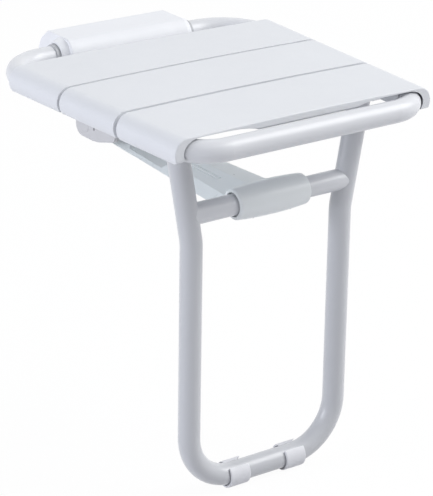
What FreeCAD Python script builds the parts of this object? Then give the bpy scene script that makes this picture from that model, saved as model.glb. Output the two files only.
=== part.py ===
import FreeCAD, Part
import math
import os

# Wall-hung folding shower seat with a prop leg, in millimetres. The origin is the middle of the four
# wall holes, on the wall face. +Z is up, +Y runs into the wall and +X is to the right for someone
# who faces the wall; "left" and "right" in names are taken from there too.

# Tubes
TUBE_R = 12.5
TUBE_WALL = 2.0
CROSS_R = 12.0

# Linkage: seat hinge H, leg pivot T, cross tube C and arm pivot R make a parallelogram, so the leg
# stays upright while the seat folds. Reach is measured forward from the hinge axis, rise above it.
WALL_OFFSET = 52.0
HINGE_Z = 44.0
LEG_REACH = 292.0
PIVOT_RISE = -6.0
ARM_RISE = -92.0
CROSS_RISE = PIVOT_RISE + ARM_RISE

# Seat hoop
SEAT_DEPTH = 368.0
FRONT_HALF = 151.0
REAR_HALF = 169.0
FRONT_BEND_R = 42.0
REAR_BEND_R = 60.0

# Slats, as distances behind the axis of the hoop's front tube
SLAT_SPANS = {"front": (9.5, 113.2), "middle": (116.8, 217.0), "rear": (220.1, 314.5)}
SLAT_WRAP_R = 17.0
SLAT_TOP = 17.0
SLAT_CROWN = 1.6
SLAT_SHOULDER_R = 16.5
SLAT_SKIN_UNDERSIDE = 12.7
SLAT_HOOK_BOTTOM = -11.0
SLAT_INNER_BOTTOM = -7.0
HOOK_CHAMFER = (7.0, 3.5)
SLAT_LIP = 3.0
SLAT_LIP_BOTTOM = 8.8
SLAT_FRONT_EDGE_R = {"front": 1.5, "middle": 0.6, "rear": 0.6}
SLAT_REAR_EDGE_R = {"front": 2.8, "middle": 2.0, "rear": 2.0}
SLAT_SIDE = 15.5
FRONT_WALL = 7.5
TUBE_GAP = 0.4
RING_GAP = 2.3
RING_DEPTH = 18.0
RIBS_X = (-52.0, 0.0, 52.0)
RIB_T = 2.5
FRONT_RIM_X = 136.0
FRONT_RIM_BOTTOM = 15.0
FRONT_RIM_RAMP = ((62.0, 8.8), (68.0, 11.2), (76.0, 13.0), (88.0, 14.4), (104.0, 15.0))

# Leg hoop
LEG_HALF_TOP = 123.0
LEG_HALF_LOW = 101.0
KINK_RISE = -130.0
LEG_BEND_R = 60.0
FOOT_RISE = -422.5
LEG_END = 8.5
PAD_X = 39.0
PAD_LENGTH = 27.0
PAD_T = 3.0
PAD_MOUTH = (50.0, 124.0)
PAD_FLARE = 1.2
PAD_FLARE_LENGTH = 3.5

# Leg pivots
SLEEVE_R = 7.0
BOLT_R = 4.0
BOLT_CLEARANCE = 0.05
SLEEVE_SPAN = (108.5, 139.2)
BOSS_X = 139.6
BOSS_R = 8.0

# Arm and its sleeve on the cross tube
ARM_HALF_REAR = 29.0
ARM_FLARE = 0.0775
ARM_EDGE = -107.5
ARM_BELLY = -119.0
ARM_RIDGE = -95.0
ARM_SHOULDER = -99.5
ARM_SHOULDER_INSET = 14.0
ARM_DISH = -105.0
ARM_SKIN = 4.0
GROOVE_X = -13.0
GROOVE_REACH = (150.0, 217.0)
HUB_R = 14.0
HUB_HALF = 41.5
PIN_R = 5.0
PIN_PLUG_R = 7.0
PIN_PLUG_T = 1.6
ARM_BUSH_R = 7.0
BARREL_HALF = 47.5
BARREL_R = 19.5
BARREL_END_R = 17.3
BARREL_ROUND_R = 3.0
OPEN_PIVOT_GAP = 0.4
SLEEVE_FLARE = 1.6
SLEEVE_FLARE_LENGTH = 6.0
SLEEVE_SCREW_X = 25.0
SLEEVE_SCREW_RISE = -16.2

# Wall bracket
PLATE_T = 4.0
PLATE_HALF = 74.0
PLATE_TOP = -3.5
CHANNEL_HALF = 30.0
CHANNEL_BOTTOM = -90.0
WEB_BACK = -20.0
WEB_HALF = 50.0
CHEEK_T = 6.0
CHEEK_HOLE = (19.5, -90.5)
CHEEK_HOLE_R = 1.6
HOLE_X = 20.0
HOLE_Z = 22.0
HOLE_R = 3.0
ACCESS_R = 6.5

# Seat hinge
SADDLE_X = (50.0, 74.0)
SADDLE_HALF = 25.5
SADDLE_RIB = 5.0
SADDLE_BED = -22.0
BUSH_R = 14.5
BUSH_END = 94.5
COLLAR_R = 14.2
STRAP_R = 17.7
STRAP_T = 4.0
STRAP_SCREW_RISE = -21.5
SCREW_DEPTH = 8.0

# Cover and its end caps
COVER_HALF = 77.5
COVER_T = 2.5
NOSE_R = 24.5
NOSE_ROUND_R = 6.0
COVER_TOP = 21.3
COVER_BOTTOM = -28.0
COVER_BACK = ((-52.0, -3.5), (-47.0, 8.5), (-31.0, 21.3))
NOTCH_HALF = 52.0
NOTCH_RISE = -14.0
CAP_T = 3.0
CAP_NOSE_X = 89.5
CAP_NOSE_R = (20.5, 17.2)

V = FreeCAD.Vector
X_AXIS, Y_AXIS, Z_AXIS = V(1, 0, 0), V(0, 1, 0), V(0, 0, 1)
SIDES = {"left": -1, "right": 1}


# Helpers

def place(x, reach, rise):
    """A point given by its side position, its reach from the hinge axis and its rise above it."""
    return V(x, -WALL_OFFSET - reach, HINGE_Z + rise)


def rod(x0, x1, reach, rise, radius):
    """A cylinder along X."""
    return Part.makeCylinder(radius, x1 - x0, place(x0, reach, rise), X_AXIS)


def block(x0, x1, reach0, reach1, rise0, rise1):
    corner = place(x0, reach1, rise0)
    return Part.makeBox(x1 - x0, reach1 - reach0, rise1 - rise0, corner)


def polygon_prism(corners, direction):
    return Part.Face(Part.makePolygon(corners + corners[:1])).extrude(direction)


def side_prism(outline, x0, x1):
    """An outline of (reach, rise) points, extruded from x0 to x1."""
    return polygon_prism([place(x0, reach, rise) for reach, rise in outline], V(x1 - x0, 0, 0))


def plan_prism(outline, rise0, rise1):
    """An outline of (x, reach) points, extruded from rise0 to rise1."""
    return polygon_prism([place(x, reach, rise0) for x, reach in outline], V(0, 0, rise1 - rise0))


def fuse_all(shapes):
    return shapes[0].multiFuse(shapes[1:]).removeSplitter()


def mirrored(shape):
    return shape.mirror(V(0, 0, 0), X_AXIS)


def both_sides(shape):
    return [shape, mirrored(shape)]


def bent_bar(corners, bends, radius):
    """A round bar along straight runs, with a tangent bend at each inner corner."""
    pieces = []
    start = corners[0]
    for i, bend in enumerate(bends, 1):
        into = (corners[i] - corners[i - 1]).normalize()
        out = (corners[i + 1] - corners[i]).normalize()
        turn = into.getAngle(out)
        setback = bend * math.tan(turn / 2)
        axis = into.cross(out).normalize()
        end = corners[i] - into * setback
        centre = end + axis.cross(into) * bend
        disc = Part.Face(Part.Wire(Part.makeCircle(radius, end, into)))
        pieces.append(Part.makeCylinder(radius, (end - start).Length, start, into))
        pieces.append(disc.revolve(centre, axis, math.degrees(turn)))
        start = corners[i] + out * setback
    last = corners[-1] - start
    pieces.append(Part.makeCylinder(radius, last.Length, start, last))
    return fuse_all(pieces)


def round_edges(shape, radius, chosen):
    return shape.makeFillet(radius, [edge for edge in shape.Edges if chosen(edge)])


def passes(edge, reach, rise):
    """True for a straight edge along X at a given reach and rise."""
    box, point = edge.BoundBox, place(0, reach, rise)
    centre = box.Center - point
    return box.XLength > 0.1 and math.hypot(centre.y, centre.z) < 0.01


def export(name, shape):
    shape.exportStep(os.path.join("parts", name + ".step"))


# Seat hoop and slats

def side_tube_x(behind):
    """Side position of the hoop's side tube, a distance behind the front tube."""
    return FRONT_HALF + (REAR_HALF - FRONT_HALF) * behind / SEAT_DEPTH


def hoop_bar(radius, front_bend=FRONT_BEND_R):
    corners = [place(0, SEAT_DEPTH, 0), place(FRONT_HALF, SEAT_DEPTH, 0), place(REAR_HALF, 0, 0),
               place(-REAR_HALF, 0, 0), place(-FRONT_HALF, SEAT_DEPTH, 0), place(0, SEAT_DEPTH, 0)]
    return bent_bar(corners, [front_bend, REAR_BEND_R, REAR_BEND_R, front_bend], radius)


def slat_screw_points():
    points = []
    for near, far in SLAT_SPANS.values():
        behind = (near + far) / 2
        points += [place(side * side_tube_x(behind), SEAT_DEPTH - behind, 0) for side in (-1, 1)]
    return points


def seat_frame():
    boss = rod(BOSS_X, BOSS_X + 14, LEG_REACH, PIVOT_RISE, BOSS_R)
    frame = fuse_all([hoop_bar(TUBE_R)] + both_sides(boss)).cut(hoop_bar(TUBE_R - TUBE_WALL))
    frame = frame.cut(both_sides(rod(BOSS_X - 1, BOSS_X + 9, LEG_REACH, PIVOT_RISE, BOLT_R)))
    holes = [Part.makeCylinder(1.9, 40, point - V(0, 0, 20)) for point in slat_screw_points()]
    return frame.cut(holes)


def slat_outline(behind):
    """Cross section of the slat's outside: crowned top, round shoulders, ends hooked down."""
    x = side_tube_x(behind)
    reach = SEAT_DEPTH - behind
    wrap, top, shoulder = SLAT_WRAP_R, SLAT_TOP, SLAT_SHOULDER_R
    hook = math.sqrt(wrap ** 2 - SLAT_HOOK_BOTTOM ** 2)
    half = -SLAT_HOOK_BOTTOM / 2
    diagonal = shoulder * math.sqrt(0.5)
    right = [
        Part.Arc(place(x + hook, reach, SLAT_HOOK_BOTTOM),
                 place(x + math.sqrt(wrap ** 2 - half ** 2), reach, -half),
                 place(x + wrap, reach, 0)),
        Part.LineSegment(place(x + wrap, reach, 0), place(x + wrap, reach, top - shoulder)),
        Part.Arc(place(x + wrap, reach, top - shoulder),
                 place(x + wrap - shoulder + diagonal, reach, top - shoulder + diagonal),
                 place(x + wrap - shoulder, reach, top)),
    ]
    edges = [curve.toShape() for curve in right]
    crown = Part.Arc(place(x + wrap - shoulder, reach, top), place(0, reach, top + SLAT_CROWN),
                     place(-x - wrap + shoulder, reach, top)).toShape()
    left = [mirrored(edge) for edge in reversed(edges)]
    base = Part.makeLine(place(-x - hook, reach, SLAT_HOOK_BOTTOM),
                         place(x + hook, reach, SLAT_HOOK_BOTTOM))
    return Part.Wire(Part.__sortEdges__(edges + [crown] + left + [base]))


def between_tubes(near, far, inset, x0, x1, rise0, rise1):
    """A prism from x0 to x1, kept inside the side tubes' axes by an inset."""
    def limited(x, behind):
        edge = side_tube_x(behind) - inset
        return max(-edge, min(edge, x))
    outline = [(limited(x0, near), SEAT_DEPTH - near), (limited(x1, near), SEAT_DEPTH - near),
               (limited(x1, far), SEAT_DEPTH - far), (limited(x0, far), SEAT_DEPTH - far)]
    return plan_prism(outline, rise0, rise1)


def slat(name):
    near, far = SLAT_SPANS[name]
    body = Part.makeLoft([slat_outline(near), slat_outline(far)], True, True)
    body = round_edges(body, SLAT_FRONT_EDGE_R[name], lambda edge: on_slat_end(edge, near))
    body = round_edges(body, SLAT_REAR_EDGE_R[name], lambda edge: on_slat_end(edge, far))
    wide, low = 500.0, -40.0
    cuts = [between_tubes(near - 1, far + 1, -4.0, -wide, wide, low, SLAT_INNER_BOTTOM),
            hoop_bar(TUBE_R + TUBE_GAP)]
    if name == "front":
        pivot = SEAT_DEPTH - LEG_REACH
        cuts.append(between_tubes(pivot - 14, pivot + 14, -4.0, -wide, wide, low, 4.0))
        pockets_from = near + FRONT_WALL
        cuts.append(hook_bevel(SEAT_DEPTH - near, wide, low))
        cuts.append(hoop_bar(TUBE_R + TUBE_GAP, FRONT_BEND_R - 6))
        front = SEAT_DEPTH - near
        ends = block(-wide, wide, front - RING_DEPTH, front + 1, low, -low)
        cuts.append(hoop_bar(TUBE_R + RING_GAP).common(ends))
        cuts.append(between_tubes(pockets_from, far + 1, SLAT_SIDE, -wide, wide, low, SLAT_LIP_BOTTOM))
        cuts.append(front_edge_cut(near - 1, pockets_from + 1, low))
    else:
        pockets_from = near + SLAT_LIP
        cuts.append(between_tubes(near - 1, far + 1, SLAT_SIDE, -wide, wide, low, SLAT_LIP_BOTTOM))
    walls = (-wide,) + RIBS_X + (wide,)
    for x0, x1 in zip(walls, walls[1:]):
        cuts.append(between_tubes(pockets_from, far - SLAT_LIP, SLAT_SIDE, x0 + RIB_T / 2, x1 - RIB_T / 2,
                                  low, SLAT_SKIN_UNDERSIDE))
    cuts += [Part.makeCylinder(1.75, 15.5, point) for point in slat_screw_points()]
    for tool in cuts:
        body = body.cut(tool)
    return body.removeSplitter()


def hook_bevel(edge, wide, low):
    """Prism that bevels the underside of the front slat's hooks at their front edge."""
    run, drop = HOOK_CHAMFER
    rise = SLAT_HOOK_BOTTOM + drop
    outline = [(edge + 1, low), (edge + 1, rise), (edge, rise), (edge - run, SLAT_HOOK_BOTTOM),
               (edge - run, low)]
    return side_prism(outline, -wide, wide)


def front_edge_cut(near, far, low):
    """Prism that leaves a thin rim at the front slat's edge, ramping down to a deep lip in the middle."""
    right = list(FRONT_RIM_RAMP) + [(FRONT_RIM_X, FRONT_RIM_BOTTOM), (FRONT_RIM_X, low)]
    outline = [(-x, rise) for x, rise in reversed(right)] + right
    corners = [place(x, SEAT_DEPTH - far, rise) for x, rise in outline]
    return polygon_prism(corners, V(0, near - far, 0))


def on_slat_end(edge, behind):
    """True for the outline edges of a slat's end face at a distance behind the front tube."""
    box = edge.BoundBox
    reach = -WALL_OFFSET - (box.YMin + box.YMax) / 2
    if box.YLength > 0.01 or box.ZMax < HINGE_Z + SLAT_HOOK_BOTTOM + 0.1:
        return False
    return abs(reach - (SEAT_DEPTH - behind)) < 0.1


def slat_screws():
    screws = []
    for point in slat_screw_points():
        head = Part.makeCylinder(3.5, 2.4, point - V(0, 0, TUBE_R + 2.4))
        shank = Part.makeCylinder(1.75, TUBE_R + 15.5, point - V(0, 0, TUBE_R))
        screws.append(fuse_all([head, shank]))
    return Part.makeCompound(screws)


# Leg hoop, pivots and foot pads

def leg_top(side, beyond):
    """A point on the leg's upper axis, a distance beyond the pivot."""
    kink = place(side * LEG_HALF_LOW, LEG_REACH, KINK_RISE)
    pivot = place(side * LEG_HALF_TOP, LEG_REACH, PIVOT_RISE)
    return pivot + (pivot - kink).normalize() * beyond


def leg_bar(radius):
    low = LEG_HALF_LOW
    corners = [place(-low, LEG_REACH, KINK_RISE), place(-low, LEG_REACH, FOOT_RISE),
               place(low, LEG_REACH, FOOT_RISE), place(low, LEG_REACH, KINK_RISE)]
    corners = [leg_top(-1, LEG_END)] + corners + [leg_top(1, LEG_END)]
    return bent_bar(corners, [LEG_BEND_R] * 4, radius)


def leg_frame():
    leg = leg_bar(TUBE_R).cut(leg_bar(TUBE_R - TUBE_WALL))
    return leg.cut(both_sides(rod(90, 150, LEG_REACH, PIVOT_RISE, SLEEVE_R)))


def cross_tube():
    reach = LEG_HALF_TOP
    tube = rod(-reach, reach, LEG_REACH, CROSS_RISE, CROSS_R)
    tube = tube.cut(rod(-reach, reach, LEG_REACH, CROSS_RISE, CROSS_R - TUBE_WALL))
    middle = tube.cut(leg_bar(TUBE_R)).Solids
    return max(middle, key=lambda solid: solid.Volume)


def pivot_sleeves():
    start, end = SLEEVE_SPAN
    sleeve = rod(start, end, LEG_REACH, PIVOT_RISE, SLEEVE_R)
    sleeve = sleeve.cut(rod(start, end, LEG_REACH, PIVOT_RISE, BOLT_R + BOLT_CLEARANCE))
    return Part.makeCompound(both_sides(sleeve))


def pivot_bolts():
    start = SLEEVE_SPAN[0] - 0.3
    head = rod(start - 5, start, LEG_REACH, PIVOT_RISE, 7.5)
    socket = Part.makePolygon([place(start - 5, LEG_REACH + 3 * math.cos(math.radians(60 * i)),
                                     PIVOT_RISE + 3 * math.sin(math.radians(60 * i)))
                               for i in range(7)])
    head = head.cut(Part.Face(socket).extrude(V(3, 0, 0)))
    shank = rod(start, BOSS_X + 8, LEG_REACH, PIVOT_RISE, BOLT_R)
    return Part.makeCompound(both_sides(fuse_all([head, shank])))


def leg_plug(side):
    """Domed plug in the open top of a leg tube, seated on the pivot sleeve."""
    top = leg_top(side, LEG_END)
    along = (top - leg_top(side, 0)).normalize()
    spigot = Part.makeCylinder(TUBE_R - TUBE_WALL, LEG_END, leg_top(side, 0), along)
    cap = Part.makeCylinder(TUBE_R, 3.0, top, along)
    cap = round_edges(cap, 2.5, lambda edge: (edge.CenterOfMass - top).Length > 1)
    plug = fuse_all([spigot, cap])
    x0, x1 = sorted((side * 90, side * 150))
    return plug.cut(rod(x0, x1, LEG_REACH, PIVOT_RISE, SLEEVE_R))


def foot_pad(side):
    """Rubber clip round the bar, open along a narrow mouth on top."""
    rise = FOOT_RISE
    x0, x1 = PAD_X - PAD_LENGTH / 2, PAD_X + PAD_LENGTH / 2
    pad = rod(x0, x1, LEG_REACH, rise, TUBE_R + PAD_T)
    pad = round_edges(pad, 1.4, lambda edge: isinstance(edge.Curve, Part.Circle))
    mouth = [(LEG_REACH, rise)] + [(LEG_REACH + 30 * math.cos(math.radians(turn)),
                                    rise + 30 * math.sin(math.radians(turn))) for turn in PAD_MOUTH]
    pad = pad.cut(side_prism(mouth, x0, x1)).cut(leg_bar(TUBE_R + 0.05))
    for start in (x0 - 1, x1 - PAD_FLARE_LENGTH):
        end = block(start, start + PAD_FLARE_LENGTH + 1, LEG_REACH - 20, LEG_REACH + 20, rise - 20, rise + 20)
        pad = pad.cut(leg_bar(TUBE_R + PAD_FLARE).common(end))
    return pad if side > 0 else mirrored(pad)


# Support arm

def barrel():
    """The swelling sleeve at the front of the arm."""
    def at(x, radius):
        return place(x, LEG_REACH, CROSS_RISE + radius)
    swell = Part.Arc(at(-BARREL_HALF, BARREL_END_R), at(0, BARREL_R),
                     at(BARREL_HALF, BARREL_END_R)).toShape()
    ends = Part.makePolygon([at(BARREL_HALF, BARREL_END_R), at(BARREL_HALF, 0),
                             at(-BARREL_HALF, 0), at(-BARREL_HALF, BARREL_END_R)])
    profile = Part.Face(Part.Wire([swell] + ends.Edges))
    solid = profile.revolve(at(0, 0), X_AXIS, 360)
    return round_edges(solid, BARREL_ROUND_R, lambda edge: edge.BoundBox.XLength < 0.01
                       and edge.BoundBox.ZLength > 2 * BARREL_END_R - 1)


def sleeve_bore():
    end = BARREL_HALF + 1
    bore = rod(-end, end, LEG_REACH, CROSS_RISE, CROSS_R + OPEN_PIVOT_GAP)
    mouth = rod(BARREL_HALF - SLEEVE_FLARE_LENGTH, end, LEG_REACH, CROSS_RISE, CROSS_R + SLEEVE_FLARE)
    return fuse_all([bore] + both_sides(mouth))


def arm_half_width(reach):
    return ARM_HALF_REAR + ARM_FLARE * reach


def arm_section(reach, inset=0.0, drop=0.0):
    """Cross section of the arm: a low ridge on top, sloping flanks and a shallow keel below."""
    half = arm_half_width(reach) - inset
    shoulder = half - ARM_SHOULDER_INSET
    right = [(0, ARM_RIDGE - drop), (shoulder, ARM_SHOULDER - drop), (half, ARM_EDGE), (18, ARM_BELLY)]
    outline = right + [(-x, rise) for x, rise in reversed(right[1:])]
    points = [place(x, reach, rise) for x, rise in outline]
    return Part.makePolygon(points + points[:1])


def underside_pocket(start, end):
    """A pocket in the arm's underside that leaves an even skin under the ridge and flanks."""
    pocket = Part.makeLoft([arm_section(start, ARM_SKIN, ARM_SKIN), arm_section(end, ARM_SKIN, ARM_SKIN)],
                           True, True)
    half = arm_half_width(start) - 1.5 * ARM_SKIN
    return pocket.common(block(-half, half, start, end, ARM_BELLY - 1, ARM_RIDGE))


def stadium(half_width, depth):
    """A slot-shaped prism along the arm, sunk into its left flank beside the ridge."""
    start, end = GROOVE_REACH
    top = ARM_RIDGE - (ARM_RIDGE - ARM_SHOULDER) * abs(GROOVE_X) / 26
    ends = [Part.makeCylinder(half_width, 10, place(GROOVE_X, reach, top - depth)) for reach in (start, end)]
    run = block(GROOVE_X - half_width, GROOVE_X + half_width, start, end, top - depth, top - depth + 10)
    return fuse_all(ends + [run])


def support_arm():
    start = 8.0
    beam = Part.makeLoft([arm_section(start), arm_section(LEG_REACH)], True, True)
    dish = side_prism([(44, -88), (62, ARM_DISH), (138, ARM_DISH), (150, -88)], -60, 60)
    heel = side_prism([(0, -106), (12, -106), (60, -121), (0, -121)], -60, 60)
    beam = beam.cut([dish, heel]).common(block(-BARREL_HALF, BARREL_HALF, 0, LEG_REACH, -130, -80))
    hub = rod(-HUB_HALF, HUB_HALF, 0, ARM_RISE, HUB_R)
    rear_half = block(-60, 60, LEG_REACH - 30, LEG_REACH, CROSS_RISE - 30, CROSS_RISE + 30)
    arm = fuse_all([beam, hub, barrel().common(rear_half)])
    cuts = [sleeve_bore(), rod(-60, 60, 0, ARM_RISE, ARM_BUSH_R), stadium(3.0, 1.0).cut(stadium(1.7, 2.0)),
            underside_pocket(158, 190), underside_pocket(194, 226), underside_pocket(230, 264)]
    cuts.append(block(-22, 22, 70, 132, ARM_BELLY - 1, ARM_DISH - ARM_SKIN))
    cuts += sleeve_screw_rods(262, 281, 3.2) + sleeve_screw_rods(281, 292, 1.7)
    return arm.cut(cuts).removeSplitter()


def sleeve_cap():
    front_half = block(-60, 60, LEG_REACH, LEG_REACH + 30, CROSS_RISE - 30, CROSS_RISE + 30)
    return barrel().common(front_half).cut([sleeve_bore()] + sleeve_screw_rods(LEG_REACH, 300, 1.5))


def sleeve_screw_rods(start, end, radius):
    """Rods along the two screws that clamp the sleeve cap to the arm from behind."""
    rod_start = place(SLEEVE_SCREW_X, end, CROSS_RISE + SLEEVE_SCREW_RISE)
    return both_sides(Part.makeCylinder(radius, end - start, rod_start, Y_AXIS))


def sleeve_screws():
    heads = sleeve_screw_rods(278.6, 281, 3.0)
    shanks = sleeve_screw_rods(281, 300, 1.5)
    return Part.makeCompound([fuse_all([head, shank]) for head, shank in zip(heads, shanks)])


def arm_bush(side):
    """Flanged bush pressed into one end of the arm's hub."""
    reach, rise = 0, ARM_RISE
    sleeve = rod(HUB_HALF - 16, HUB_HALF, reach, rise, ARM_BUSH_R)
    flange = rod(HUB_HALF, HUB_HALF + 2.1, reach, rise, ARM_BUSH_R + 3)
    bush = fuse_all([sleeve, flange]).cut(rod(0, 60, reach, rise, PIN_R + 0.05))
    return bush if side > 0 else mirrored(bush)


def arm_pin():
    pin = rod(-WEB_HALF + PIN_PLUG_T, WEB_HALF, 0, ARM_RISE, PIN_R)
    head = rod(WEB_HALF, WEB_HALF + 2, 0, ARM_RISE, PIN_R + 1.5)
    head = round_edges(head, 1.0, lambda edge: edge.BoundBox.XMin > WEB_HALF + 1.9)
    return fuse_all([pin, head])


def pin_cap():
    """Plug pressed into the left cheek over the pin's end."""
    outer = -WEB_HALF - 0.4
    cap = rod(outer, -WEB_HALF + PIN_PLUG_T, 0, ARM_RISE, PIN_PLUG_R)
    return round_edges(cap, 0.35, lambda edge: edge.BoundBox.XMax < outer + 0.1)


# Wall bracket, hinge and cover

def wall_cheek(x0):
    """D-shaped cheek beside the arm's hub, with a small hole in front of the pin."""
    heel, toe = (WEB_BACK, -105.5), (61, -95)
    outline = [(WEB_BACK, -56), heel, (16, -105.5), (28, -104), toe, (66, -84), (6, -56)]
    cheek = side_prism(outline, x0, x0 + CHEEK_T)
    cheek = round_edges(cheek, 13.0, lambda edge: passes(edge, *heel))
    cheek = round_edges(cheek, 5.0, lambda edge: passes(edge, *toe))
    return cheek.cut(rod(x0, x0 + CHEEK_T, *CHEEK_HOLE, CHEEK_HOLE_R))


def saddle():
    """Ribbed block behind the hinge tube, with a half-round bed for the bush."""
    x0, x1 = SADDLE_X
    wall = -WALL_OFFSET + PLATE_T
    bed = block(x0, x1, wall, 0, -SADDLE_HALF, SADDLE_HALF).common(cover_block(x0, x1, COVER_T + 0.5))
    pocket = block(x0 + SADDLE_RIB, x1 - SADDLE_RIB, wall, SADDLE_BED, -SADDLE_HALF, SADDLE_HALF)
    lug_slot = block(x0 + 1.8, x1 - 1.8, -12, 0, BUSH_R, COVER_TOP)
    return bed.cut([pocket, lug_slot, rod(x0, x1, 0, 0, BUSH_R), strap_screw_rod(-SCREW_DEPTH, 0, 1.6)])


def strap_screw_rod(start, end, radius):
    """Rod along the screw that holds the right-hand hinge strap."""
    x = sum(SADDLE_X) / 2
    return Part.makeCylinder(radius, end - start, place(x, end, STRAP_SCREW_RISE), Y_AXIS)


def wall_bracket():
    """Plate on the wall with a channel that carries the two cheeks and a saddle at each side."""
    wall, web, bottom, top = -WALL_OFFSET, WEB_BACK, CHANNEL_BOTTOM, PLATE_TOP
    upper = block(-PLATE_HALF, PLATE_HALF, wall, wall + PLATE_T, -SADDLE_HALF, top)
    lower = block(-CHANNEL_HALF, CHANNEL_HALF, wall, wall + PLATE_T, bottom, top)
    sides = both_sides(block(CHANNEL_HALF - PLATE_T, CHANNEL_HALF, wall, web + PLATE_T, bottom, top))
    front = block(-WEB_HALF, WEB_HALF, web, web + PLATE_T, bottom, top)
    cheeks = both_sides(wall_cheek(WEB_HALF - CHEEK_T))
    bracket = fuse_all([upper, lower, front] + sides + both_sides(saddle()) + cheeks)
    centres = [(x, z) for x in (-HOLE_X, HOLE_X) for z in (-HOLE_Z, HOLE_Z)]
    holes = [Part.makeCylinder(HOLE_R, 20, V(x, -10, z), Y_AXIS) for x, z in centres]
    holes += [Part.makeCylinder(ACCESS_R, 20, V(x, -45, z), Y_AXIS) for x, z in centres]
    holes += both_sides(cover_screw_rod(-COVER_T, 10, 1.6))
    holes.append(rod(-60, 60, 0, ARM_RISE, PIN_R))
    holes.append(rod(-60, -WEB_HALF + PIN_PLUG_T, 0, ARM_RISE, PIN_PLUG_R))
    return bracket.cut(holes).removeSplitter()


def hinge_bush(side):
    """Split bush round the hoop's rear tube, with a collar that shows beyond the end cap."""
    x0, x1 = SADDLE_X
    collar = rod(x1, BUSH_END, 0, 0, COLLAR_R)
    collar = round_edges(collar, 0.8, lambda edge: edge.BoundBox.XMin > BUSH_END - 0.1)
    bush = fuse_all([rod(x0 - 1, x1 + 1, 0, 0, BUSH_R), collar])
    split = block(x0 - 1, BUSH_END, 5, 20, -0.5, 0.5)
    bush = bush.cut([rod(x0 - 1, BUSH_END, 0, 0, TUBE_R + 0.05), split])
    return bush if side > 0 else mirrored(bush)


def hinge_strap(side):
    """Steel strap over the bush: a lug hooked behind the saddle's top and one screw below."""
    x0, x1 = SADDLE_X[0] + 2, SADDLE_X[1] - 2
    flange = block(x0, x1, 0, STRAP_T, -SADDLE_HALF, 0)
    arch = rod(x0, x1, 0, 0, STRAP_R).common(block(x0, x1, 0, 30, -30, 30))
    lug = block(x0, x1, -11.8, 0, BUSH_R + 0.1, STRAP_R)
    strap = fuse_all([flange, arch, lug]).cut([rod(x0, x1, 0, 0, BUSH_R), strap_screw_rod(0, STRAP_T, 1.8)])
    return strap if side > 0 else mirrored(strap)


def strap_screws():
    head = strap_screw_rod(STRAP_T, STRAP_T + 2.2, 3.0)
    return Part.makeCompound(both_sides(fuse_all([head, strap_screw_rod(-SCREW_DEPTH, STRAP_T, 1.6)])))


def nose_reach(radius, rise):
    """Reach of the cover's round nose at a given rise."""
    return math.sqrt(radius ** 2 - rise ** 2)


def cover_outline(inset=0.0):
    """Side outline of the cover: sloping back, flat top and a nose struck from the hinge axis."""
    nose, top, bottom = NOSE_R - inset, COVER_TOP - inset, COVER_BOTTOM + inset
    at_wall, bend, peak = COVER_BACK
    straight = [(nose, 0), (nose - 1.5, bottom), (-WALL_OFFSET, bottom), (at_wall[0], at_wall[1] - inset / 2),
                (bend[0], bend[1] - inset), (peak[0] + inset / 2, top), (nose_reach(nose, top), top)]
    corners = [place(0, *point) for point in straight]
    angle = math.asin(top / nose) / 2
    middle = place(0, nose * math.cos(angle), nose * math.sin(angle))
    arc = Part.Arc(corners[-1], middle, corners[0]).toShape()
    return Part.Face(Part.Wire([arc] + Part.makePolygon(corners).Edges))


def cover_block(x0, x1, inset=0.0):
    face = cover_outline(inset)
    face.translate(V(x0, 0, 0))
    return face.extrude(V(x1 - x0, 0, 0))


def cover_screw_rod(drop, length, radius):
    """Rod along the right-hand cover screw, upwards from a drop below the saddle."""
    x = sum(SADDLE_X) / 2
    return Part.makeCylinder(radius, length - drop, place(x, -12, -SADDLE_HALF + drop))


def housing_cover():
    shell = cover_block(-COVER_HALF, COVER_HALF)
    nose_top = nose_reach(NOSE_R, COVER_TOP)
    shell = round_edges(shell, NOSE_ROUND_R, lambda edge: passes(edge, nose_top, COVER_TOP))
    shell = round_edges(shell, 4.0, lambda edge: passes(edge, *COVER_BACK[-1]))
    hollow = cover_block(-COVER_HALF, COVER_HALF, COVER_T)
    back = block(-COVER_HALF, COVER_HALF, -WALL_OFFSET - 1, -WALL_OFFSET + PLATE_T, -SADDLE_HALF, PLATE_TOP)
    notch = block(-NOTCH_HALF, NOTCH_HALF, -WALL_OFFSET - 1, NOSE_R + 10, -40, NOTCH_RISE)
    return shell.cut([hollow, back, notch] + both_sides(cover_screw_rod(-COVER_T, 5, 1.8))).removeSplitter()


def cover_screws():
    head = cover_screw_rod(-COVER_T - 1.8, -COVER_T, 3.0)
    return Part.makeCompound(both_sides(fuse_all([head, cover_screw_rod(-COVER_T, 9, 1.6)])))


def end_cap(side):
    """Cover end with a tapered nose round the bush collar and a slot that slips over it from above."""
    x0, x1 = COVER_HALF, COVER_HALF + CAP_T
    cap = cover_block(x0, x1)
    cap = round_edges(cap, 1.2, lambda edge: edge.BoundBox.XMin > x1 - 0.01)
    root_r, end_r = CAP_NOSE_R
    nose = Part.makeCone(root_r, end_r, CAP_NOSE_X - x1, place(x1, 0, 0), X_AXIS)
    nose = round_edges(nose, 1.0, lambda edge: edge.BoundBox.XMin > CAP_NOSE_X - 0.01)
    cap = fuse_all([cap, nose])
    radius = COLLAR_R + 0.5
    cap = cap.cut([rod(x0, CAP_NOSE_X + 1, 0, 0, radius), block(x0, CAP_NOSE_X + 1, -radius, radius, -40, 0)])
    return cap if side > 0 else mirrored(cap)


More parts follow.
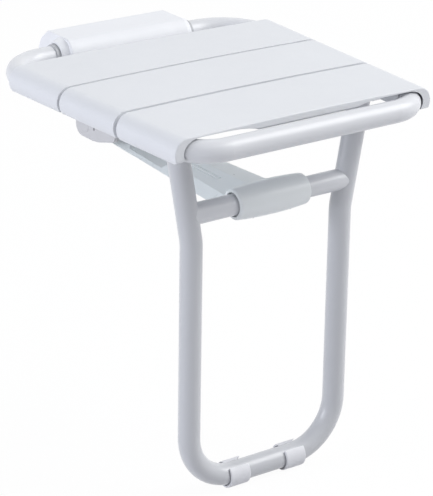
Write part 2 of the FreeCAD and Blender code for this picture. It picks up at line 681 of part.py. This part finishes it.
def build():
    nodes = {
        "wall_bracket": wall_bracket(),
        "housing_cover": housing_cover(),
        "strap_screws": strap_screws(),
        "cover_screws": cover_screws(),
        "seat_frame": seat_frame(),
        "slat_screws": slat_screws(),
        "leg_pivot_bolts": pivot_bolts(),
        "leg_frame": leg_frame(),
        "leg_pivot_sleeves": pivot_sleeves(),
        "cross_tube": cross_tube(),
        "support_arm": support_arm(),
        "sleeve_cap": sleeve_cap(),
        "sleeve_screws": sleeve_screws(),
        "arm_pin": arm_pin(),
        "arm_pin_cap": pin_cap(),
    }
    for name in SLAT_SPANS:
        nodes["slat_" + name] = slat(name)
    paired = {"hinge_bush": hinge_bush, "hinge_strap": hinge_strap, "end_cap": end_cap,
              "leg_plug": leg_plug, "foot_pad": foot_pad, "arm_bush": arm_bush}
    for name, make in paired.items():
        for side_name, side in SIDES.items():
            nodes[name + "_" + side_name] = make(side)
    return nodes


os.makedirs("parts", exist_ok=True)
for node_name, node_shape in build().items():
    if not node_shape.isValid():
        raise ValueError("invalid shape: " + node_name)
    export(node_name, node_shape)
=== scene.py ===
import bpy
import math
from mathutils import Matrix, Vector


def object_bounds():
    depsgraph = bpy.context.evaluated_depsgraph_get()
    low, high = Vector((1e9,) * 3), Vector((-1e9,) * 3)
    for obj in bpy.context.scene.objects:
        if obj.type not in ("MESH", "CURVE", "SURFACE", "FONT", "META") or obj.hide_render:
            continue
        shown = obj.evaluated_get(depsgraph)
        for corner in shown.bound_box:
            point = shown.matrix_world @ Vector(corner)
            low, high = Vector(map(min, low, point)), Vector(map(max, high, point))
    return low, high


# Looks of the folding shower seat: a finish for every part, a plain studio and the camera.
# Metres throughout.

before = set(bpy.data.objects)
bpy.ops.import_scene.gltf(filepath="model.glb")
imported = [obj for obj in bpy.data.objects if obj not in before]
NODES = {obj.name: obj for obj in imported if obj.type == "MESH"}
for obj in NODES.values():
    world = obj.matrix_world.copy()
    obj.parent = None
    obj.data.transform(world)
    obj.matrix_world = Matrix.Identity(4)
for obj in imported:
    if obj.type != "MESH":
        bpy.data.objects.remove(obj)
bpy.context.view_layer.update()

# Camera: its place, the way it looks, its roll in degrees, its lens in mm and its near and far limits
CAMERA_PLACE = (-1.4020, -2.2009, 0.8196)
CAMERA_FORWARD = (0.54143, 0.75348, -0.37299)
CAMERA_ROLL = 0.9
CAMERA_LENS = 165.92
CAMERA_CLIP = (0.05, 60.0)

# Floor: its colour and glow for the camera and reflections, and its colour for light that it throws back
FLOOR_HALF = 14.0
FLOOR_COLOUR = (0.94, 0.94, 0.94, 1)
FLOOR_GLOW = 0.96
FLOOR_BOUNCE = (0.62, 0.62, 0.64, 1)

# Room light: the room is brightest up and back, towards ROOM_BACK. Its level runs from the first number of
# ROOM_LIGHT to the second while a direction's dot product with ROOM_BACK runs over ROOM_FACING.
ROOM_COLOUR = (0.94, 0.96, 1.0, 1)
ROOM_BACK = (0.42, 0.62, 0.66)
ROOM_FACING = (-0.6, 0.8)
ROOM_LIGHT = (0.31, 0.60)

# Lamps: name, azimuth and elevation in degrees, width and height, level and colour. Azimuth 0 is in front
# of the seat and 90 on its right. The level is the share of full white that the lamp gives a white surface
# facing it. All aim at the middle of the object, from one distance.
LAMP_AIM = Vector((0.0, -0.232, -0.15))
LAMP_DISTANCE = 5.0
LAMPS = [
    ("left_softbox", -98, 13, (3.4, 2.0), 0.54, (0.90, 0.92, 1.0)),
    ("right_key", 60, 41, (3.2, 3.2), 0.74, (1.0, 1.0, 1.0)),
]

# Sockets of a colour Mix node, which share their names with its sockets for other types
MIX_FACTOR, MIX_A, MIX_B, MIX_RESULT = 0, 6, 7, 2

# The part of a noise pattern's 0 to 1 range that most of it falls in
NOISE_SPREAD = (0.3, 0.7)


# Materials

class Shader:
    """A Principled material with small helpers for its procedural detail."""

    def __init__(self, name, roughness, **sockets):
        self.material = bpy.data.materials.new(name)
        self.material.use_nodes = True
        self.tree = self.material.node_tree
        self.principled = self.tree.nodes["Principled BSDF"]
        self.principled.inputs["Roughness"].default_value = roughness
        for socket, value in sockets.items():
            self.principled.inputs[socket.replace("_", " ")].default_value = value
        self.place = self.tree.nodes.new("ShaderNodeTexCoord").outputs["Object"]

    def node(self, kind, **settings):
        made = self.tree.nodes.new("ShaderNode" + kind)
        for key, value in settings.items():
            if key in made.inputs:
                made.inputs[key].default_value = value
            else:
                setattr(made, key, value)
        return made

    def link(self, output, socket):
        self.tree.links.new(output, socket)

    def noise(self, scale, detail=3.0, roughness=0.5, stretch=None):
        made = self.node("TexNoise", Scale=scale, Detail=detail, Roughness=roughness)
        place = self.place
        if stretch:
            mapping = self.node("Mapping", Scale=stretch)
            self.link(place, mapping.inputs["Vector"])
            place = mapping.outputs["Vector"]
        self.link(place, made.inputs["Vector"])
        return made.outputs["Fac"]

    def remap(self, value, low, high):
        """Stretch a noise pattern to run from low to high."""
        made = self.node("MapRange")
        set_range(made, NOISE_SPREAD, (low, high))
        self.link(value, made.inputs["Value"])
        return made.outputs["Result"]

    def mix(self, factor, first, second):
        """Blend two colours, each a tuple or another node's output."""
        made = self.node("Mix", data_type="RGBA")
        self.link(factor, made.inputs[MIX_FACTOR])
        for index, value in ((MIX_A, first), (MIX_B, second)):
            if isinstance(value, bpy.types.NodeSocket):
                self.link(value, made.inputs[index])
            else:
                made.inputs[index].default_value = (*value, 1.0)
        return made.outputs[MIX_RESULT]

    def colour(self, output):
        self.link(output, self.principled.inputs["Base Color"])

    def rough(self, output):
        self.link(output, self.principled.inputs["Roughness"])

    def bump(self, height, strength, distance):
        made = self.node("Bump", Strength=strength, Distance=distance)
        self.link(height, made.inputs["Height"])
        self.link(made.outputs["Normal"], self.principled.inputs["Normal"])


def set_range(node, source, target):
    """Set a MapRange node to turn the source pair of numbers into the target pair."""
    for key, number in zip(("From Min", "From Max", "To Min", "To Max"), (*source, *target)):
        node.inputs[key].default_value = number


def scaled(colour, factor):
    return tuple(c * factor for c in colour)


def powder_coat(name, colour, roughness):
    """Satin powder coat: faint orange peel, cloudy gloss and a slightly uneven white."""
    cloud_scale, gloss_scale, peel_scale = 9.0, 60.0, 900.0
    s = Shader(name, roughness, Coat_Weight=0.35, Coat_Roughness=0.22, IOR=1.5)
    cloud = s.noise(cloud_scale, 4.0)
    s.colour(s.mix(s.remap(cloud, 0.0, 1.0), colour, scaled(colour, 0.985)))
    s.rough(s.remap(s.noise(gloss_scale, 5.0), roughness - 0.015, roughness + 0.02))
    s.bump(s.noise(peel_scale, 2.0), strength=0.05, distance=0.0002)
    return s.material


def moulded(name, colour, roughness, grain_scale=1500.0, grain_strength=0.22):
    """Injection-moulded plastic: fine spark-eroded grain, faint flow clouds and darker specks."""
    flow_scale, gloss_scale, speck_scale = 6.0, 55.0, grain_scale * 0.6
    flow_shade = 0.965
    speck_shade = flow_shade * 0.97
    s = Shader(name, roughness, IOR=1.49)
    flow = s.noise(flow_scale, 5.0, 0.55)
    speck = s.noise(speck_scale, 2.0)
    base = s.mix(s.remap(flow, 0.0, 1.0), colour, scaled(colour, flow_shade))
    s.colour(s.mix(s.remap(speck, 0.0, 0.35), base, scaled(colour, speck_shade)))
    s.rough(s.remap(s.noise(gloss_scale, 4.0), roughness - 0.05, roughness + 0.06))
    s.bump(s.noise(grain_scale, 3.0), strength=grain_strength, distance=0.0003)
    return s.material


def turned_steel(name, colour, roughness):
    """Stainless steel with fine turning marks."""
    mark_scale, gloss_scale = 260.0, 120.0
    s = Shader(name, roughness, Metallic=1.0)
    marks = s.noise(mark_scale, 3.0, stretch=(6.0, 1.0, 1.0))
    s.colour(s.mix(s.remap(marks, 0.0, 1.0), colour, scaled(colour, 0.82)))
    s.rough(s.remap(s.noise(gloss_scale, 3.0), roughness - 0.06, roughness + 0.08))
    s.bump(marks, strength=0.08, distance=0.0002)
    return s.material


def soft_rubber(name, colour, roughness):
    """Matt rubber with uneven patches and a soft grain."""
    patch_scale, gloss_scale, grain_scale = 45.0, 90.0, 900.0
    s = Shader(name, roughness, IOR=1.5)
    s.colour(s.mix(s.remap(s.noise(patch_scale, 5.0), 0.0, 1.0), colour, scaled(colour, 0.93)))
    s.rough(s.remap(s.noise(gloss_scale, 3.0), roughness - 0.04, roughness + 0.08))
    s.bump(s.noise(grain_scale, 4.0), strength=0.3, distance=0.0003)
    return s.material


TUBE = powder_coat("white_powder_coat", (0.72, 0.73, 0.755), 0.40)
# The legs use the hoop's white powder coat set darker: painted shade for the dark legs.
SHADED_LEG_TUBE = powder_coat("white_coat_painted_leg_shade", (0.575, 0.585, 0.61), 0.32)
# A white coat set darker than the frame's: the coat's own colour with painted shade for the shaded cheek.
SHADED_BRACKET = powder_coat("white_coat_painted_bracket_shade", (0.58, 0.58, 0.595), 0.44)
SLAT = moulded("white_slat_plastic", (0.765, 0.78, 0.805), 0.45)
COVER = moulded("white_cover_plastic", (0.85, 0.86, 0.885), 0.46)
# White plastic set brighter than the other plastics: painted light for the lit arm under the seat.
LIT_ARM = moulded("white_plastic_painted_arm_light", (0.88, 0.93, 0.93), 0.32)
# White plastic set brighter: painted light for the lit sleeve under the seat.
LIT_SLEEVE = moulded("white_plastic_painted_sleeve_light", (0.855, 0.885, 0.89), 0.34)
NYLON = moulded("grey_nylon", (0.50, 0.51, 0.53), 0.5, grain_scale=900.0, grain_strength=0.15)
RUBBER = soft_rubber("pale_rubber", (0.78, 0.785, 0.815), 0.48)
STEEL = turned_steel("stainless_steel", (0.60, 0.60, 0.62), 0.3)

FINISHES = [
    (TUBE, ["seat_frame", "cross_tube"]),
    (SHADED_LEG_TUBE, ["leg_frame"]),
    (SHADED_BRACKET, ["wall_bracket", "hinge_strap_left", "hinge_strap_right", "arm_pin_cap"]),
    (SLAT, ["slat_front", "slat_middle", "slat_rear"]),
    (COVER, ["housing_cover", "end_cap_left", "end_cap_right"]),
    (LIT_ARM, ["support_arm"]),
    (LIT_SLEEVE, ["sleeve_cap"]),
    (NYLON, ["hinge_bush_left", "hinge_bush_right", "arm_bush_left", "arm_bush_right",
             "leg_plug_left", "leg_plug_right"]),
    (RUBBER, ["foot_pad_left", "foot_pad_right"]),
    (STEEL, ["strap_screws", "cover_screws", "slat_screws", "leg_pivot_bolts", "leg_pivot_sleeves",
             "sleeve_screws", "arm_pin"]),
]
for finish, names in FINISHES:
    for name in names:
        mesh = NODES[name].data
        mesh.materials.clear()
        mesh.materials.append(finish)


# Studio

def add_to_scene(obj):
    bpy.context.scene.collection.objects.link(obj)


def seen_directly(tree):
    """1 for rays from the camera, a reflection or glass, which should see the plain background."""
    path = tree.nodes.new("ShaderNodeLightPath")
    total = path.outputs["Is Camera Ray"]
    for other in ("Is Glossy Ray", "Is Transmission Ray"):
        add = tree.nodes.new("ShaderNodeMath")
        add.operation = "MAXIMUM"
        tree.links.new(total, add.inputs[0])
        tree.links.new(path.outputs[other], add.inputs[1])
        total = add.outputs[0]
    return total


def mix_shaders(tree, factor, first, second):
    blend = tree.nodes.new("ShaderNodeMixShader")
    for socket, output in zip(blend.inputs, (factor, first, second)):
        tree.links.new(output, socket)
    return blend.outputs[0]


def floor_material():
    material = bpy.data.materials.new("pale_floor")
    material.use_nodes = True
    tree = material.node_tree
    tree.nodes.clear()
    shade = tree.nodes.new("ShaderNodeMix")
    shade.data_type = "RGBA"
    shade.inputs[MIX_A].default_value = FLOOR_BOUNCE
    shade.inputs[MIX_B].default_value = FLOOR_COLOUR
    tree.links.new(seen_directly(tree), shade.inputs[MIX_FACTOR])
    diffuse = tree.nodes.new("ShaderNodeBsdfDiffuse")
    tree.links.new(shade.outputs[MIX_RESULT], diffuse.inputs["Color"])
    glow = tree.nodes.new("ShaderNodeEmission")
    glow.inputs["Color"].default_value = (1, 1, 1, 1)
    glow.inputs["Strength"].default_value = 1.0
    share = tree.nodes.new("ShaderNodeMath")
    share.operation = "MULTIPLY"
    share.inputs[1].default_value = FLOOR_GLOW
    tree.links.new(seen_directly(tree), share.inputs[0])
    out = tree.nodes.new("ShaderNodeOutputMaterial")
    blend = mix_shaders(tree, share.outputs[0], diffuse.outputs[0], glow.outputs[0])
    tree.links.new(blend, out.inputs["Surface"])
    return material


def make_floor():
    floor_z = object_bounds()[0].z
    square = ((-1, -1), (1, -1), (1, 1), (-1, 1))
    corners = [(x * FLOOR_HALF, y * FLOOR_HALF, floor_z) for x, y in square]
    mesh = bpy.data.meshes.new("floor")
    mesh.from_pydata(corners, [], [(0, 1, 2, 3)])
    mesh.materials.append(floor_material())
    floor = bpy.data.objects.new("floor", mesh)
    add_to_scene(floor)


def background(tree, colour, strength=1.0):
    node = tree.nodes.new("ShaderNodeBackground")
    node.inputs["Color"].default_value = colour
    node.inputs["Strength"].default_value = strength
    return node


def make_world():
    """A white backdrop for the camera and reflections, and soft room light for everything else."""
    world = bpy.data.worlds.new("studio")
    bpy.context.scene.world = world
    world.use_nodes = True
    tree = world.node_tree
    tree.nodes.clear()
    direction = tree.nodes.new("ShaderNodeTexCoord").outputs["Generated"]
    facing = tree.nodes.new("ShaderNodeVectorMath")
    facing.operation = "DOT_PRODUCT"
    facing.inputs[1].default_value = ROOM_BACK
    tree.links.new(direction, facing.inputs[0])
    level = tree.nodes.new("ShaderNodeMapRange")
    set_range(level, ROOM_FACING, ROOM_LIGHT)
    tree.links.new(facing.outputs["Value"], level.inputs["Value"])
    room = background(tree, ROOM_COLOUR)
    tree.links.new(level.outputs["Result"], room.inputs["Strength"])
    backdrop = background(tree, (1, 1, 1, 1))
    out = tree.nodes.new("ShaderNodeOutputWorld")
    blend = mix_shaders(tree, seen_directly(tree), room.outputs[0], backdrop.outputs[0])
    tree.links.new(blend, out.inputs["Surface"])


def softbox(name, azimuth, elevation, size, level, colour):
    """An area lamp aimed at the object."""
    a, e = math.radians(azimuth), math.radians(elevation)
    out = Vector((math.sin(a) * math.cos(e), -math.cos(a) * math.cos(e), math.sin(e)))
    lamp = bpy.data.lights.new(name, "AREA")
    lamp.shape = "RECTANGLE"
    lamp.size, lamp.size_y = size
    lamp.energy = level * math.pi ** 2 * LAMP_DISTANCE ** 2
    lamp.color = colour
    made = bpy.data.objects.new(name, lamp)
    made.location = LAMP_AIM + out * LAMP_DISTANCE
    made.rotation_euler = (-out).to_track_quat("-Z", "Y").to_euler()
    add_to_scene(made)


def make_camera():
    forward = Vector(CAMERA_FORWARD).normalized()
    right = forward.cross(Vector((0, 0, 1))).normalized()
    up = right.cross(forward)
    roll = math.radians(CAMERA_ROLL)
    tilted_right = right * math.cos(roll) + up * math.sin(roll)
    tilted_up = up * math.cos(roll) - right * math.sin(roll)
    data = bpy.data.cameras.new("camera")
    data.lens = CAMERA_LENS
    data.clip_start, data.clip_end = CAMERA_CLIP
    camera = bpy.data.objects.new("camera", data)
    turn = Matrix((tilted_right, tilted_up, -forward)).transposed().to_4x4()
    camera.matrix_world = Matrix.Translation(CAMERA_PLACE) @ turn
    add_to_scene(camera)
    bpy.context.scene.camera = camera


make_floor()
make_world()
for lamp in LAMPS:
    softbox(*lamp)
make_camera()

scene = bpy.context.scene
scene.view_settings.view_transform = "Standard"
